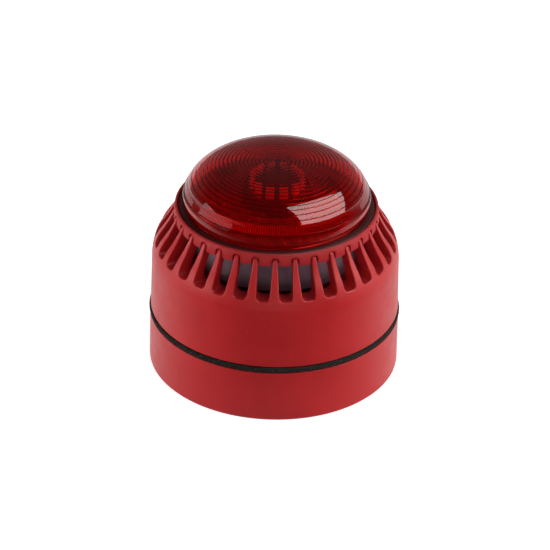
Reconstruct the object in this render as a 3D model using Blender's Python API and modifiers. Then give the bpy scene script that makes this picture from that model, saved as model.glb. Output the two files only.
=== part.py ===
"""Horn strobe: a round wall sounder with a flashing beacon under a red lens.

A shallow base carries the terminals, a foam gasket seals it to the head, and the head holds the horn, its
driver, the boards and the beacon. +Z points from the wall to the lens, and the origin is the centre of the
base's rear face. Every length below is in millimetres, and MM turns it into metres.
"""

import math

import bmesh
import bpy
from mathutils import Matrix

MM = 0.001
GAP = 0.3  # clearance between neighbouring pieces
MERGE = 0.00001  # metres, far under any wall
SHARP_ANGLE = math.radians(35)

# Outer sizes
BASE_RADIUS = 46.3
BASE_RIM_RADIUS = 46.1
BASE_HEIGHT = 19.6
BASE_WALL = 2.3
BACK_PLATE = 2.2
GASKET_RADIUS = 46.5
GASKET_INNER_RADIUS = 43.3
GASKET_BOTTOM = BASE_HEIGHT + GAP
GASKET_TOP = 22.7
HEAD_BOTTOM = GASKET_TOP + GAP
HEAD_RADIUS = 45.9
SHOULDER_RADIUS = 45.5
SHOULDER_BOTTOM = 42.0
SHOULDER_ARC = 20.0
RING_RADIUS = 37.0
RING_TOP = 63.4
RING_BOTTOM = 60.0
LENS_BOTTOM = RING_TOP + 0.4
LENS_TOP = 82.5
LENS_WALL = 2.2
FLANGE_RADIUS = 36.9

# The lens dome is part of a superellipse about the axis
DOME_RADIUS = 36.5
DOME_CENTRE = 55.0
DOME_POWER = 2.7
DOME_FOOT = 68.4

# Sound slots
SLOT_COUNT = 33
SLOT_WIDTH = 5.0
FIRST_RIB = -90.0  # degrees: a rib faces the front
SLOT_BOTTOM = 48.6
SLOT_CORNER = 1.4
RIB_INNER_RADIUS = 38.0

# Bayonet
LUG_ANGLE = 16.0
LUG_AZIMUTHS = (-30.0, 90.0, 210.0)
COLLAR_RADIUS = 41.8
BASE_LUG_RADIUS = 42.2
HEAD_LUG_RADIUS = 43.5
BASE_LUG_BOTTOM = 14.8
BASE_LUG_TOP = 16.8
HEAD_LUG_BOTTOM = 11.8
HEAD_LUG_TOP = 14.4

# Contacts
CONTACT_AZIMUTHS = (45.0, 75.0, 105.0, 135.0)
CONTACT_RADIUS = 30.0
CONTACT_WIDTH = 5.0
TERMINAL_RADIUS = 23.0
CARRIER_BOTTOM = BACK_PLATE + GAP
CARRIER_TOP = 8.5
SPRING_TOP = 12.0

# Base openings
CABLE_ENTRY_RADIUS = 10.0
FIXING_SLOT_WIDTH = 4.6
FIXING_SLOT_LENGTH = 10.0
FIXING_SLOT_RADIUS = 29.0
FIXING_AZIMUTHS = (0.0, 180.0, 270.0)

# Head insides
COVER_BOTTOM = 21.5
COVER_TOP = 23.3
BOARD_BOTTOM = 27.0
BOARD_TOP = 28.6
FLOOR_BOTTOM = 35.4
FLOOR_TOP = 37.4
COVER_SCREW_RADIUS = 34.0
COVER_SCREW_AZIMUTHS = (0.0, 180.0)
SWITCH_CENTRE = (-9.0, -25.0)
SWITCH_WAYS = 4
SWITCH_PITCH = 2.54
SLIDER_TRAVEL = 1.5
TRIMMER_CENTRE = (13.0, -24.0)
LEAD_OFFSET = 29.2
LEAD_RADIUS = 1.1

# Beacon
DECK_BOTTOM = 61.9
DECK_TOP = 63.4
BEACON_BOARD_BOTTOM = 64.6
BEACON_BOARD_TOP = 66.2
LED_COUNT = 12
LED_RADIUS = 9.6
LED_CARRIER_TOP = 71.0
BEACON_SCREW_PLACES = ((-25.0, -9.0), (25.0, -9.0))

# How finely round pieces are turned
OUTER_STEPS = 72
CASING_STEPS = 36
INNER_STEPS = 32
SMALL_STEPS = 16


# ---------------------------------------------------------------- scene and materials


def clear_scene():
    for piece in list(bpy.data.objects):
        bpy.data.objects.remove(piece, do_unlink=True)


def new_collection(name):
    collection = bpy.data.collections.new(name)
    bpy.context.scene.collection.children.link(collection)
    return collection


def material(name, colour, roughness, metallic=0.0, alpha=1.0):
    surface = bpy.data.materials.new(name)
    surface.use_nodes = True
    shader = surface.node_tree.nodes["Principled BSDF"]
    shader.inputs["Base Color"].default_value = (*colour, 1.0)
    shader.inputs["Roughness"].default_value = roughness
    shader.inputs["Metallic"].default_value = metallic
    shader.inputs["Alpha"].default_value = alpha
    surface.diffuse_color = (*colour, alpha)
    return surface


clear_scene()
PARTS = new_collection("horn_strobe")
CUTTERS = new_collection("cutters")

RED_PLASTIC = material("red_plastic", (0.38, 0.017, 0.020), 0.42)
FOAM = material("gasket_foam", (0.014, 0.012, 0.010), 0.95)
BLACK_PLASTIC = material("black_plastic", (0.02, 0.02, 0.022), 0.5)
WHITE_PLASTIC = material("white_plastic", (0.75, 0.74, 0.70), 0.45)
BLUE_PLASTIC = material("blue_plastic", (0.03, 0.12, 0.42), 0.45)
GREY_PLASTIC = material("horn_grey", (0.12, 0.10, 0.13), 0.3)
BRASS = material("brass", (0.72, 0.52, 0.22), 0.3, metallic=1.0)
STEEL = material("steel", (0.62, 0.62, 0.64), 0.3, metallic=1.0)
CERAMIC = material("ceramic", (0.78, 0.76, 0.70), 0.55)
GREEN_BOARD = material("green_board", (0.015, 0.11, 0.05), 0.4)
WHITE_BOARD = material("white_board", (0.72, 0.72, 0.70), 0.4)
LED_PACKAGE = material("led_package", (0.80, 0.70, 0.42), 0.3)
RUBBER = material("black_rubber", (0.018, 0.018, 0.018), 0.8)
RED_LENS = material("red_lens", (0.55, 0.01, 0.012), 0.08, alpha=0.45)
COPPER = material("copper_winding", (0.55, 0.22, 0.09), 0.35, metallic=1.0)
SLEEVE = material("lead_sleeve", (0.05, 0.05, 0.055), 0.6)


# ---------------------------------------------------------------- shape helpers


def frame(name):
    """An empty that carries the pieces of one moving body."""
    empty = bpy.data.objects.new(name, None)
    PARTS.objects.link(empty)
    return empty


def place(piece, finish, parent):
    """Puts a piece in the parts collection, or with the cutters when it has no finish."""
    if finish is None:
        CUTTERS.objects.link(piece)
        piece.hide_render = True
        piece.display_type = "WIRE"
        return piece
    PARTS.objects.link(piece)
    piece.data.materials.append(finish)
    piece.parent = parent
    return piece


def turned(name, profile, steps, finish=None, parent=None):
    """A solid turned about +Z. The profile runs down the outer side and back up the inner side."""
    count = len(profile)
    edges = [(i, i + 1) for i in range(count - 1)]
    if profile[0][0] > 0:
        edges.append((count - 1, 0))
    mesh = bpy.data.meshes.new(name)
    mesh.from_pydata([(radius * MM, 0, height * MM) for radius, height in profile], edges, [])
    piece = place(bpy.data.objects.new(name, mesh), finish, parent)
    screw = piece.modifiers.new("turn", "SCREW")
    screw.axis = "Z"
    screw.steps = steps
    screw.render_steps = steps
    screw.use_merge_vertices = True
    screw.merge_threshold = MERGE
    return piece


def plate(name, outlines, bottom, top, finish=None, parent=None):
    """A flat piece from closed outlines in XY: the first is its edge, and the others are holes."""
    curve = bpy.data.curves.new(name, "CURVE")
    curve.dimensions = "2D"
    curve.fill_mode = "BOTH"
    curve.extrude = (top - bottom) / 2 * MM
    for outline in outlines:
        spline = curve.splines.new("POLY")
        spline.points.add(len(outline) - 1)
        spline.use_cyclic_u = True
        for point, (x, y) in zip(spline.points, outline):
            point.co = (x * MM, y * MM, 0, 1)
    return to_mesh(name, curve, (0, 0, (bottom + top) / 2), finish, parent)


def to_mesh(name, curve, centre, finish, parent):
    """The mesh piece that a curve makes, with its caps welded to its sides."""
    guide = bpy.data.objects.new(name + "_guide", curve)
    CUTTERS.objects.link(guide)
    guide.location = [value * MM for value in centre]
    bpy.context.view_layer.update()
    graph = bpy.context.evaluated_depsgraph_get()
    mesh = bpy.data.meshes.new_from_object(guide.evaluated_get(graph))
    shape = bmesh.new()
    shape.from_mesh(mesh)
    bmesh.ops.remove_doubles(shape, verts=shape.verts, dist=MERGE)
    bmesh.ops.recalc_face_normals(shape, faces=shape.faces)
    shape.to_mesh(mesh)
    shape.free()
    mesh.materials.clear()
    piece = bpy.data.objects.new(name, mesh)
    piece.matrix_world = guide.matrix_world.copy()
    bpy.data.objects.remove(guide, do_unlink=True)
    return place(piece, finish, parent)


def block(name, size, centre, finish=None, parent=None, turn=0.0):
    """A box of the given size about its centre, turned about Z by an angle in degrees."""
    shape = bmesh.new()
    scale = Matrix.Diagonal([side * MM for side in size]).to_4x4()
    bmesh.ops.create_cube(shape, size=1.0, matrix=scale)
    mesh = bpy.data.meshes.new(name)
    shape.to_mesh(mesh)
    shape.free()
    piece = place(bpy.data.objects.new(name, mesh), finish, parent)
    piece.location = [value * MM for value in centre]
    piece.rotation_euler.z = math.radians(turn)
    return piece


def rod(name, radius, bottom, top, centre=(0, 0), finish=None, parent=None, steps=SMALL_STEPS):
    """An upright round bar."""
    shape = bmesh.new()
    bmesh.ops.create_cone(
        shape, cap_ends=True, segments=steps, radius1=radius * MM, radius2=radius * MM, depth=(top - bottom) * MM
    )
    mesh = bpy.data.meshes.new(name)
    shape.to_mesh(mesh)
    shape.free()
    piece = place(bpy.data.objects.new(name, mesh), finish, parent)
    piece.location = (centre[0] * MM, centre[1] * MM, (bottom + top) / 2 * MM)
    return piece


def combine(target, others, operation):
    for other in others:
        boolean = target.modifiers.new(other.name, "BOOLEAN")
        boolean.operation = operation
        boolean.object = other
    return target


def cut(target, *cutters):
    return combine(target, cutters, "DIFFERENCE")


def fuse(target, *additions):
    return combine(target, additions, "UNION")


def polar(radius, azimuth):
    """X and Y of a point at an azimuth in degrees."""
    angle = math.radians(azimuth)
    return radius * math.cos(angle), radius * math.sin(angle)


def arc(centre, radius, start, end, points):
    """Points along a circular arc, its angles in degrees."""
    angles = [start + (end - start) * i / (points - 1) for i in range(points)]
    return [(centre[0] + polar(radius, a)[0], centre[1] + polar(radius, a)[1]) for a in angles]


def sector(inner, outer, start, end, points):
    """The outline of a piece of a ring."""
    return arc((0, 0), outer, start, end, points) + arc((0, 0), inner, end, start, points)


def slot_outline(centre, length, width, azimuth, points=6):
    """A slot with round ends, its length along an azimuth."""
    reach = (length - width) / 2
    ends = []
    for direction in (0, 180):
        x, y = polar(reach, azimuth + direction)
        middle = (centre[0] + x, centre[1] + y)
        ends += arc(middle, width / 2, azimuth + direction - 90, azimuth + direction + 90, points)
    return ends


def settle(piece):
    """Applies the modifiers and shades the piece smooth between its real edges."""
    graph = bpy.context.evaluated_depsgraph_get()
    mesh = bpy.data.meshes.new_from_object(piece.evaluated_get(graph))
    piece.modifiers.clear()
    piece.data = mesh
    mesh.shade_smooth()
    mesh.set_sharp_from_angle(angle=SHARP_ANGLE)


# ---------------------------------------------------------------- base


def make_base_shell(body):
    wall_inner = BASE_RIM_RADIUS - BASE_WALL
    shell = turned(
        "base_shell",
        [
            (BASE_RIM_RADIUS, BASE_HEIGHT),
            (BASE_RADIUS, 0.8),
            (BASE_RADIUS - 0.8, 0),
            (CABLE_ENTRY_RADIUS, 0),
            (CABLE_ENTRY_RADIUS, BACK_PLATE),
            (wall_inner, BACK_PLATE),
            (wall_inner, BASE_HEIGHT),
        ],
        OUTER_STEPS,
        RED_PLASTIC,
        body,
    )
    for i, azimuth in enumerate(FIXING_AZIMUTHS):
        centre = polar(FIXING_SLOT_RADIUS, azimuth)
        outline = slot_outline(centre, FIXING_SLOT_LENGTH, FIXING_SLOT_WIDTH, azimuth)
        cut(shell, plate(f"fixing_slot_{i + 1}", [outline], -1, BACK_PLATE + 1))
    outer = BASE_RIM_RADIUS - BASE_WALL / 2
    for i, azimuth in enumerate(LUG_AZIMUTHS):
        start = azimuth - LUG_ANGLE / 2
        ledge = sector(BASE_LUG_RADIUS, outer, start, start + LUG_ANGLE, 4)
        stop = sector(BASE_LUG_RADIUS, outer, start - 3, start - 0.6, 2)
        fuse(
            shell,
            plate(f"base_lug_{i + 1}", [ledge], BASE_LUG_BOTTOM, BASE_LUG_TOP),
            plate(f"base_stop_{i + 1}", [stop], HEAD_LUG_BOTTOM, BASE_LUG_TOP - 0.5),
        )
    return shell


def make_gasket(body):
    profile = [
        (GASKET_RADIUS, GASKET_TOP),
        (GASKET_RADIUS, GASKET_BOTTOM),
        (GASKET_INNER_RADIUS, GASKET_BOTTOM),
        (GASKET_INNER_RADIUS, GASKET_TOP),
    ]
    return turned("base_gasket", profile, OUTER_STEPS, FOAM, body)


def make_contacts(body):
    """The moulded carrier in the base, with a spring strip and a terminal screw for each wire."""
    start = CONTACT_AZIMUTHS[0] - 14
    end = CONTACT_AZIMUTHS[-1] + 14
    outline = sector(18.5, 35.0, start, end, 13)
    carrier = plate("contact_carrier", [outline], CARRIER_BOTTOM, CARRIER_TOP, BLACK_PLASTIC, body)
    strip_bottom = CARRIER_TOP + GAP
    strip_top = strip_bottom + 0.5
    bend = CONTACT_RADIUS + 3.5
    side = [
        (19.5, strip_bottom),
        (bend, strip_bottom),
        (bend + 0.9, strip_bottom + 0.9),
        (CONTACT_RADIUS + 1.5, SPRING_TOP),
        (CONTACT_RADIUS - 1.5, SPRING_TOP),
        (CONTACT_RADIUS - 3.5, SPRING_TOP - 1.2),
        (CONTACT_RADIUS - 3.2, SPRING_TOP - 1.6),
        (CONTACT_RADIUS - 1.2, SPRING_TOP - 0.5),
        (CONTACT_RADIUS + 1.2, SPRING_TOP - 0.5),
        (bend, strip_bottom + 0.9),
        (bend - 0.3, strip_top),
        (19.5, strip_top),
    ]
    for i, azimuth in enumerate(CONTACT_AZIMUTHS):
        number = i + 1
        spring = plate(f"contact_spring_{number}", [side], -CONTACT_WIDTH / 2, CONTACT_WIDTH / 2, BRASS, body)
        spring.matrix_world = Matrix.Rotation(math.radians(azimuth), 4, "Z") @ Matrix.Rotation(math.pi / 2, 4, "X")
        place_xy = polar(TERMINAL_RADIUS, azimuth)
        cut(spring, rod(f"strip_hole_{number}", 1.9, strip_bottom - 1, strip_top + 1, place_xy, steps=12))
        cut(carrier, rod(f"terminal_hole_{number}", 1.9, CARRIER_BOTTOM - 1, CARRIER_TOP + 1, place_xy, steps=12))
        make_screw(f"terminal_screw_{number}", place_xy, strip_top + GAP, 1.9, 2.7, 1.5, 4.5, body, azimuth)


def make_screw(name, centre, seat, head_height, head_radius, shank_radius, tip, body, azimuth=0.0, up=True):
    """A slotted screw. Its head is above the seat when up is true, and below it otherwise."""
    way = 1 if up else -1
    crown = seat + way * head_height
    profile = [
        (0, crown),
        (head_radius - 0.4, crown),
        (head_radius, crown - way * 0.5),
        (head_radius, seat),
        (shank_radius, seat),
        (shank_radius, tip),
        (0, tip),
    ]
    if not up:
        profile.reverse()
    screw = turned(name, profile, 12, STEEL, body)
    screw.location = (centre[0] * MM, centre[1] * MM, 0)
    middle = (centre[0], centre[1], crown)
    return cut(screw, block(name + "_slot", (2 * head_radius + 1, 0.8, 1.6), middle, turn=azimuth))


# ---------------------------------------------------------------- head casing


def shoulder(radius, inset, points):
    """The curve that carries the wall over to the ring under the lens, from its top to its foot."""
    centre = (SHOULDER_RADIUS - SHOULDER_ARC, SHOULDER_BOTTOM)
    top = math.degrees(math.acos((radius - centre[0]) / (SHOULDER_ARC - inset)))
    return arc(centre, SHOULDER_ARC - inset, top, 0, points)


def make_head_shell(body):
    inner_wall = HEAD_RADIUS - 2.6
    profile = [(RING_RADIUS, RING_TOP), (RING_RADIUS + 0.6, 61.0), (38.1, 59.2)]
    profile += shoulder(38.9, 0, 6)
    profile += [
        (HEAD_RADIUS, HEAD_BOTTOM + 0.5),
        (HEAD_RADIUS - 0.3, HEAD_BOTTOM),
        (inner_wall, HEAD_BOTTOM),
        (inner_wall, 39.0),
        (RIB_INNER_RADIUS, 42.6),
        (RIB_INNER_RADIUS, 52.0),
        (34.6, 58.0),
        (31.8, 60.2),
        (31.8, 61.6),
        (34.2, 61.6),
        (34.2, 62.2),
        (36.2, 62.2),
        (36.2, RING_TOP),
    ]
    shell = turned("head_shell", profile, CASING_STEPS, RED_PLASTIC, body)
    return cut(shell, make_slot_cutter())


def make_slot_cutter():
    """All the sound slots as one cutter: each is a round-bottomed bar that points out from the axis."""
    half = SLOT_WIDTH / 2
    outline = arc((SLOT_CORNER - half, SLOT_BOTTOM + SLOT_CORNER), SLOT_CORNER, 180, 270, 3)
    outline += arc((half - SLOT_CORNER, SLOT_BOTTOM + SLOT_CORNER), SLOT_CORNER, 270, 360, 3)
    outline += [(half - 0.1, RING_BOTTOM), (0.1 - half, RING_BOTTOM)]
    bar = plate("slot_bar", [outline], 33.0, 50.0)
    stand = Matrix.Rotation(math.pi / 2, 4, "Z") @ Matrix.Rotation(math.pi / 2, 4, "X")
    shape = bmesh.new()
    for i in range(SLOT_COUNT):
        azimuth = math.radians(FIRST_RIB + 360 * (i + 0.5) / SLOT_COUNT)
        copy = bar.data.copy()
        copy.transform(Matrix.Rotation(azimuth, 4, "Z") @ stand @ bar.matrix_world)
        shape.from_mesh(copy)
        bpy.data.meshes.remove(copy)
    bpy.data.objects.remove(bar, do_unlink=True)
    mesh = bpy.data.meshes.new("sound_slots")
    shape.to_mesh(mesh)
    shape.free()
    return place(bpy.data.objects.new("sound_slots", mesh), None, None)


def make_rear_cover(body):
    """The plate that closes the head from behind, with the bayonet collar."""
    cover = turned(
        "head_rear_cover",
        [
            (0, COVER_TOP),
            (COLLAR_RADIUS + 1.1, COVER_TOP),
            (COLLAR_RADIUS + 1.1, COVER_BOTTOM),
            (COLLAR_RADIUS, COVER_BOTTOM - 1),
            (COLLAR_RADIUS, HEAD_LUG_BOTTOM - 0.3),
            (COLLAR_RADIUS - 1.7, HEAD_LUG_BOTTOM - 0.3),
            (COLLAR_RADIUS - 1.7, COVER_BOTTOM),
            (0, COVER_BOTTOM),
        ],
        INNER_STEPS,
        BLACK_PLASTIC,
        body,
    )
    for i, azimuth in enumerate(LUG_AZIMUTHS):
        start = azimuth - LUG_ANGLE / 2
        outline = sector(COLLAR_RADIUS - 0.9, HEAD_LUG_RADIUS, start, start + LUG_ANGLE, 4)
        fuse(cover, plate(f"head_lug_{i + 1}", [outline], HEAD_LUG_BOTTOM, HEAD_LUG_TOP))
    cut(cover, block("switch_window", (14.0, 9.6, 6), (*SWITCH_CENTRE, COVER_BOTTOM)))
    cut(cover, rod("trimmer_window", 4.2, COVER_BOTTOM - 1, COVER_TOP + 1, TRIMMER_CENTRE, steps=24))
    for i, azimuth in enumerate(CONTACT_AZIMUTHS):
        centre = (*polar(CONTACT_RADIUS, azimuth), COVER_BOTTOM)
        cut(cover, block(f"blade_slot_{i + 1}", (1.8, CONTACT_WIDTH + 1, 6), centre, turn=azimuth))
    for i, azimuth in enumerate(COVER_SCREW_AZIMUTHS):
        centre = polar(COVER_SCREW_RADIUS, azimuth)
        cut(cover, rod(f"cover_hole_{i + 1}", 1.9, COVER_BOTTOM - 1, COVER_TOP + 1, centre, steps=12))
        make_screw(
            f"cover_screw_{i + 1}", centre, COVER_BOTTOM - GAP, 1.4, 3.0, 1.5, 32.5, body, azimuth + 30, up=False
        )
    return cover


def make_chamber_floor(body):
    """The floor of the sound chamber. The throat of the horn rises from it, and two posts take the screws."""
    floor = turned(
        "chamber_floor",
        [
            (15.6, 54.0),
            (12.4, 46.0),
            (10.4, 40.0),
            (11.6, FLOOR_TOP),
            (42.9, FLOOR_TOP),
            (42.9, FLOOR_BOTTOM),
            (8.0, FLOOR_BOTTOM),
            (8.6, 40.0),
            (10.6, 46.0),
            (14.0, 54.0),
        ],
        INNER_STEPS,
        RED_PLASTIC,
        body,
    )
    for i, azimuth in enumerate(COVER_SCREW_AZIMUTHS):
        centre = polar(COVER_SCREW_RADIUS, azimuth)
        fuse(floor, rod(f"floor_post_{i + 1}", 3.4, BOARD_TOP + GAP, FLOOR_BOTTOM + 1, centre, steps=12))
        cut(floor, rod(f"post_bore_{i + 1}", 1.8, BOARD_TOP, 33.0, centre, steps=12))
    cut(floor, rod("floor_lead_hole", 1.8, FLOOR_BOTTOM - 1, FLOOR_TOP + 1, (0, lead_offset(36.4)), steps=12))
    return floor


# ---------------------------------------------------------------- horn and driver


def make_horn(body):
    turned(
        "horn_cup",
        [
            (0, 61.5),
            (24.0, 61.5),
            (27.0, 60.0),
            (28.0, 57.5),
            (28.6, 44.2),
            (28.2, 43.6),
            (27.0, 43.6),
            (26.6, 44.2),
            (26.0, 57.0),
            (25.0, 58.9),
            (23.0, 59.6),
            (0, 59.6),
        ],
        INNER_STEPS,
        GREY_PLASTIC,
        body,
    )
    seal = [(18.2, 35.1), (18.2, 33.9), (15.4, 33.9), (15.4, 35.1)]
    turned("driver_seal", seal, INNER_STEPS, RUBBER, body)
    turned("driver_disc", [(0, 33.6), (17.5, 33.6), (17.5, 33.2), (0, 33.2)], INNER_STEPS, BRASS, body)
    turned("driver_ceramic", [(0, 32.9), (12.5, 32.9), (12.5, 32.5), (0, 32.5)], 24, CERAMIC, body)
    turned(
        "driver_cap",
        [
            (20.3, 35.1),
            (20.3, 29.6),
            (19.7, 29.0),
            (0, 29.0),
            (0, 30.2),
            (16.6, 30.2),
            (16.6, 32.9),
            (18.6, 32.9),
            (18.6, 35.1),
        ],
        INNER_STEPS,
        BLACK_PLASTIC,
        body,
    )


# ---------------------------------------------------------------- head electronics


def make_head_board(body):
    circle = arc((0, 0), 39.0, 0, 350, 36)
    holes = [arc(polar(COVER_SCREW_RADIUS, azimuth), 1.9, 0, 330, 12) for azimuth in COVER_SCREW_AZIMUTHS]
    plate("head_board", [circle, *holes], BOARD_BOTTOM, BOARD_TOP, GREEN_BOARD, body)
    for i, azimuth in enumerate(CONTACT_AZIMUTHS):
        low = SPRING_TOP + GAP
        high = BOARD_BOTTOM - GAP
        centre = (*polar(CONTACT_RADIUS, azimuth), (low + high) / 2)
        block(f"contact_blade_{i + 1}", (0.8, CONTACT_WIDTH, high - low), centre, BRASS, body, turn=azimuth)
    seat = BOARD_TOP + GAP
    block("controller_chip", (9, 9, 1.6), (-27, -13, seat + 0.8), BLACK_PLASTIC, body, turn=15)
    core = block("drive_transformer", (10, 9, 5.4), (26, -15, seat + 2.7), COPPER, body, turn=-30)
    fuse(core, rod("transformer_winding", 5.4, seat + 1.0, seat + 4.4, (26, -15), steps=24))
    rod("head_capacitor", 3.2, seat, seat + 5.6, (-20, 22), BLACK_PLASTIC, body)


def make_switch(body):
    """A row of setting switches behind the head: each slider runs in its own slot."""
    x, y = SWITCH_CENTRE
    bottom = COVER_TOP + 0.4
    top = BOARD_BOTTOM - GAP
    housing = block("setting_switch", (12.4, 8.0, top - bottom), (x, y, (bottom + top) / 2), BLUE_PLASTIC, body)
    for i in range(SWITCH_WAYS):
        way_x = x + (i - (SWITCH_WAYS - 1) / 2) * SWITCH_PITCH
        cut(housing, block(f"slider_slot_{i + 1}", (1.7, 3.6, 3.0), (way_x, y, bottom)))
        pivot = frame(f"slider_guide_{i + 1}")
        pivot.parent = body
        pivot.location = (way_x * MM, (y - SLIDER_TRAVEL / 2) * MM, bottom * MM)
        block(f"setting_slider_{i + 1}", (1.1, 1.4, 2.0), (0, 0, 0.1), WHITE_PLASTIC, pivot)


def make_trimmer(body):
    """The volume trimmer: a rotor with a screwdriver slot in a square housing."""
    x, y = TRIMMER_CENTRE
    bottom = COVER_TOP + 0.4
    top = BOARD_BOTTOM - GAP
    housing = block("volume_trimmer", (7, 7, top - bottom), (x, y, (bottom + top) / 2), BLUE_PLASTIC, body)
    cut(housing, rod("trimmer_well", 2.8, bottom - 1, bottom + 1.8, TRIMMER_CENTRE, steps=24))
    pivot = frame("trimmer_axis")
    pivot.parent = body
    pivot.location = (x * MM, y * MM, 0)
    rotor = rod("volume_rotor", 2.4, bottom - 0.8, bottom + 1.5, (0, 0), WHITE_PLASTIC, pivot, steps=24)
    slot = block("rotor_slot", (3.6, 0.8, 1.6), (x, y, bottom - 0.8))
    return cut(rotor, slot)


def lead_offset(height):
    """How far the inner lead is from the axis at a height: it bows out past the horn."""
    share = (height - BOARD_TOP) / (BEACON_BOARD_BOTTOM - BOARD_TOP)
    return LEAD_OFFSET + 2.6 * math.sin(math.pi * share) ** 2


def make_inner_lead(body):
    """The sleeved lead from the head board up to the beacon board."""
    low = BOARD_TOP + GAP
    high = BEACON_BOARD_BOTTOM - GAP
    curve = bpy.data.curves.new("inner_lead", "CURVE")
    curve.dimensions = "3D"
    curve.bevel_depth = LEAD_RADIUS * MM
    curve.bevel_resolution = 2
    curve.use_fill_caps = True
    spline = curve.splines.new("POLY")
    count = 12
    spline.points.add(count - 1)
    for i, point in enumerate(spline.points):
        height = low + (high - low) * i / (count - 1)
        point.co = (0, lead_offset(height) * MM, height * MM, 1)
    return to_mesh("inner_lead", curve, (0, 0, 0), SLEEVE, body)


# ---------------------------------------------------------------- beacon


def make_beacon(body):
    lead_hole = arc((0, LEAD_OFFSET), 1.5, 0, 330, 12)
    screw_holes = [arc(place_xy, 1.7, 0, 330, 12) for place_xy in BEACON_SCREW_PLACES]
    deck = arc((0, 0), 31.6, 0, 350, 36)
    plate("beacon_deck", [deck, lead_hole, *screw_holes], DECK_BOTTOM, DECK_TOP, RED_PLASTIC, body)
    board = arc((0, 0), 30.6, 0, 350, 36)
    plate("beacon_board", [board, *screw_holes], BEACON_BOARD_BOTTOM, BEACON_BOARD_TOP, WHITE_BOARD, body)
    seat = BEACON_BOARD_TOP + GAP
    for i, place_xy in enumerate(BEACON_SCREW_PLACES):
        make_screw(f"beacon_screw_{i + 1}", place_xy, seat, 1.5, 2.4, 1.3, DECK_BOTTOM + 0.2, body, 20 + 50 * i)
    turned(
        "led_carrier",
        [(12.4, LED_CARRIER_TOP), (13.0, seat), (7.0, seat), (7.0, LED_CARRIER_TOP)],
        INNER_STEPS,
        WHITE_PLASTIC,
        body,
    )
    for i in range(LED_COUNT):
        azimuth = 360 / LED_COUNT * (i + 0.5)
        centre = (*polar(LED_RADIUS, azimuth), LED_CARRIER_TOP + GAP + 0.6)
        block(f"led_{i + 1:02d}", (3.8, 3.4, 1.2), centre, LED_PACKAGE, body, turn=azimuth)
    turned(
        "flash_capacitor",
        [(0, 74.2), (5.8, 74.2), (6.3, 73.7), (6.3, seat), (0, seat)],
        24,
        BLACK_PLASTIC,
        body,
    )
    turned(
        "beacon_choke",
        [(0, 71.8), (4.4, 71.8), (4.4, 70.9), (3.4, 70.9), (3.4, 67.4), (4.4, 67.4), (4.4, seat), (0, seat)],
        SMALL_STEPS,
        BLACK_PLASTIC,
        body,
    ).location = (-19.5 * MM, 7.5 * MM, 0)
    block("beacon_chip", (7, 6, 1.6), (19, 8, seat + 0.8), BLACK_PLASTIC, body, turn=25)
    block("lead_socket", (10, 4.4, 5), (0, 22.5, seat + 2.5), WHITE_PLASTIC, body)


def dome(shrink, foot, points):
    """The lens curve from the apex down to a foot height, drawn in by its wall."""
    radius = DOME_RADIUS - shrink
    rise = LENS_TOP - DOME_CENTRE - shrink
    end = math.asin(((foot - DOME_CENTRE) / rise) ** (DOME_POWER / 2))
    curve = [(0.0, DOME_CENTRE + rise)]
    for i in range(1, points):
        angle = math.pi / 2 + (end - math.pi / 2) * i / (points - 1)
        across = radius * math.cos(angle) ** (2 / DOME_POWER)
        up = rise * math.sin(angle) ** (2 / DOME_POWER)
        curve.append((across, DOME_CENTRE + up))
    return curve


def make_lens(body):
    seal = [(35.9, 63.5), (35.9, 62.5), (34.5, 62.5), (34.5, 63.5)]
    turned("lens_seal", seal, INNER_STEPS, RUBBER, body)
    profile = dome(0, DOME_FOOT, 9)
    profile += [
        (35.6, DOME_FOOT - 0.1),
        (36.6, 67.2),
        (FLANGE_RADIUS, 66.2),
        (FLANGE_RADIUS, LENS_BOTTOM + 0.5),
        (FLANGE_RADIUS - 0.4, LENS_BOTTOM),
        (32.6, LENS_BOTTOM),
    ]
    profile += reversed(dome(LENS_WALL, DOME_FOOT, 8))
    return turned("lens", profile, CASING_STEPS, RED_LENS, body)


# ---------------------------------------------------------------- assembly

base = frame("base_frame")
head = frame("head_twist_axis")

make_base_shell(base)
make_gasket(base)
make_contacts(base)
make_head_shell(head)
make_rear_cover(head)
make_chamber_floor(head)
make_horn(head)
make_head_board(head)
make_switch(head)
make_trimmer(head)
make_inner_lead(head)
make_beacon(head)
make_lens(head)

bpy.context.view_layer.update()
for part in list(PARTS.objects):
    if part.type == "MESH":
        settle(part)
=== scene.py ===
"""Horn strobe: the finished surfaces of a round red wall sounder with a beacon under a red lens.

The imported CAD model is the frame. The visible casing, lens and horn are built here as fine meshes in the same
place, and the pieces inside keep their CAD shape with softened edges. Lengths are in millimetres, and MM turns
them into metres. +Z points from the wall to the lens, and the camera looks along +Y.
"""

import math

import bmesh
import bpy
from mathutils import Matrix, Vector, noise


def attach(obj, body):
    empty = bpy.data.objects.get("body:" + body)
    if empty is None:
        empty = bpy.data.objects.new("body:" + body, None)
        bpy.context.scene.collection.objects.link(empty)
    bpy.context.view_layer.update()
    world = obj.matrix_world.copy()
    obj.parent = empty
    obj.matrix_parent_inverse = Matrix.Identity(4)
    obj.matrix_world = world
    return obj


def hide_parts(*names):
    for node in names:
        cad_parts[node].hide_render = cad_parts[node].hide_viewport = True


MM = 0.001
WELD = 0.000002  # metres

# Casing
BASE_RADIUS = 46.3
BASE_RIM_RADIUS = 46.1
BASE_HEIGHT = 20.35
BASE_INNER_RADIUS = 43.8
BACK_PLATE = 2.2
BASE_LUGS = (-30.0, 90.0, 210.0)
FIXING_AZIMUTHS = (0.0, 180.0, 270.0)
GASKET_BOTTOM = 20.5
GASKET_TOP = 22.75
HEAD_BOTTOM = 22.9
HEAD_RADIUS = 45.9
SHOULDER_RADIUS = 45.5
SHOULDER_START = 42.75
SHOULDER_ARC = 20.0
CASING_COLUMNS = 8  # to each slot

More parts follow.
